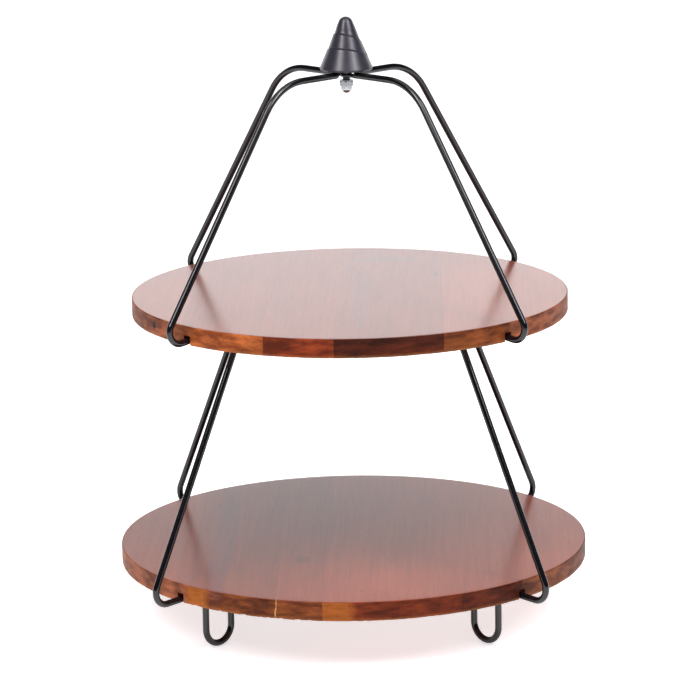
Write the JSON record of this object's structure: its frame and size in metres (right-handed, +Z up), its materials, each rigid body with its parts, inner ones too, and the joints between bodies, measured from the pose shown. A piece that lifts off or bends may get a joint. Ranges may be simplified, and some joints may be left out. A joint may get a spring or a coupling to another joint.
{
  "type": "tiered cake stand",
  "caption": "Two-tier serving stand: round edge-glued wooden boards held in the bent hooks of crossed black rods that meet under a cone finial.",
  "frame": {"origin": "on the table, under the middle of the stand", "axes": "+Z up; the staves run along Y; the two rods stand in vertical planes at 45 degrees to X"},
  "size_m": [0.356, 0.356, 0.4569],
  "materials": {
    "lower_wood": "semi-gloss red-brown stain",
    "upper_wood": "semi-gloss red-brown stain",
    "rod_black": "satin black coat",
    "finial": "satin dark grey",
    "zinc": "zinc plated",
    "chrome": "bright plated",
    "brass": "turned"
  },
  "bodies": {
    "frame": {"frame_rod_over": "rod_black", "frame_rod_under": "rod_black", "hub_stud": "zinc"},
    "lower_board": {"lower_stave_1": "lower_wood", "lower_stave_2": "lower_wood", "lower_stave_3": "lower_wood", "lower_stave_4": "lower_wood", "lower_stave_5": "lower_wood", "lower_stave_6": "lower_wood"},
    "upper_board": {"upper_stave_1": "upper_wood", "upper_stave_2": "upper_wood", "upper_stave_3": "upper_wood", "upper_stave_4": "upper_wood", "upper_stave_5": "upper_wood", "upper_stave_6": "upper_wood"},
    "finial_carrier": {"finial_insert": "brass"},
    "finial_head": {"finial": "finial"},
    "nut_carrier": {"hub_washer": "zinc"},
    "nut": {"acorn_nut": "chrome"}
  },
  "joints": [
    {"name": "lower_board_lift", "type": "slide", "parent": "frame", "child": "lower_board", "axis": [0, 0, 1], "range_m": [0, 0.035]},
    {"name": "upper_board_lift", "type": "slide", "parent": "frame", "child": "upper_board", "axis": [0, 0, 1], "range_m": [0, 0.015]},
    {"name": "finial_rise", "type": "slide", "parent": "frame", "child": "finial_carrier", "axis": [0, 0, 1], "range_m": [0, 0.009]},
    {"name": "finial_turn", "type": "hinge", "parent": "finial_carrier", "child": "finial_head", "pos_m": [0, 0, 0.4174], "axis": [0, 0, 1], "range_deg": [0, 3240]},
    {"name": "nut_drop", "type": "slide", "parent": "frame", "child": "nut_carrier", "axis": [0, 0, -1], "range_m": [0, 0.008]},
    {"name": "nut_turn", "type": "hinge", "parent": "nut_carrier", "child": "nut", "pos_m": [0, 0, 0.4089], "axis": [0, 0, -1], "range_deg": [0, 2880]}
  ],
  "couplings": [
    {"joint": "finial_rise", "follows": "finial_turn", "m_per_rad": 0.00015915},
    {"joint": "nut_turn", "follows": "nut_drop", "rad_per_m": 6283.2}
  ]
}
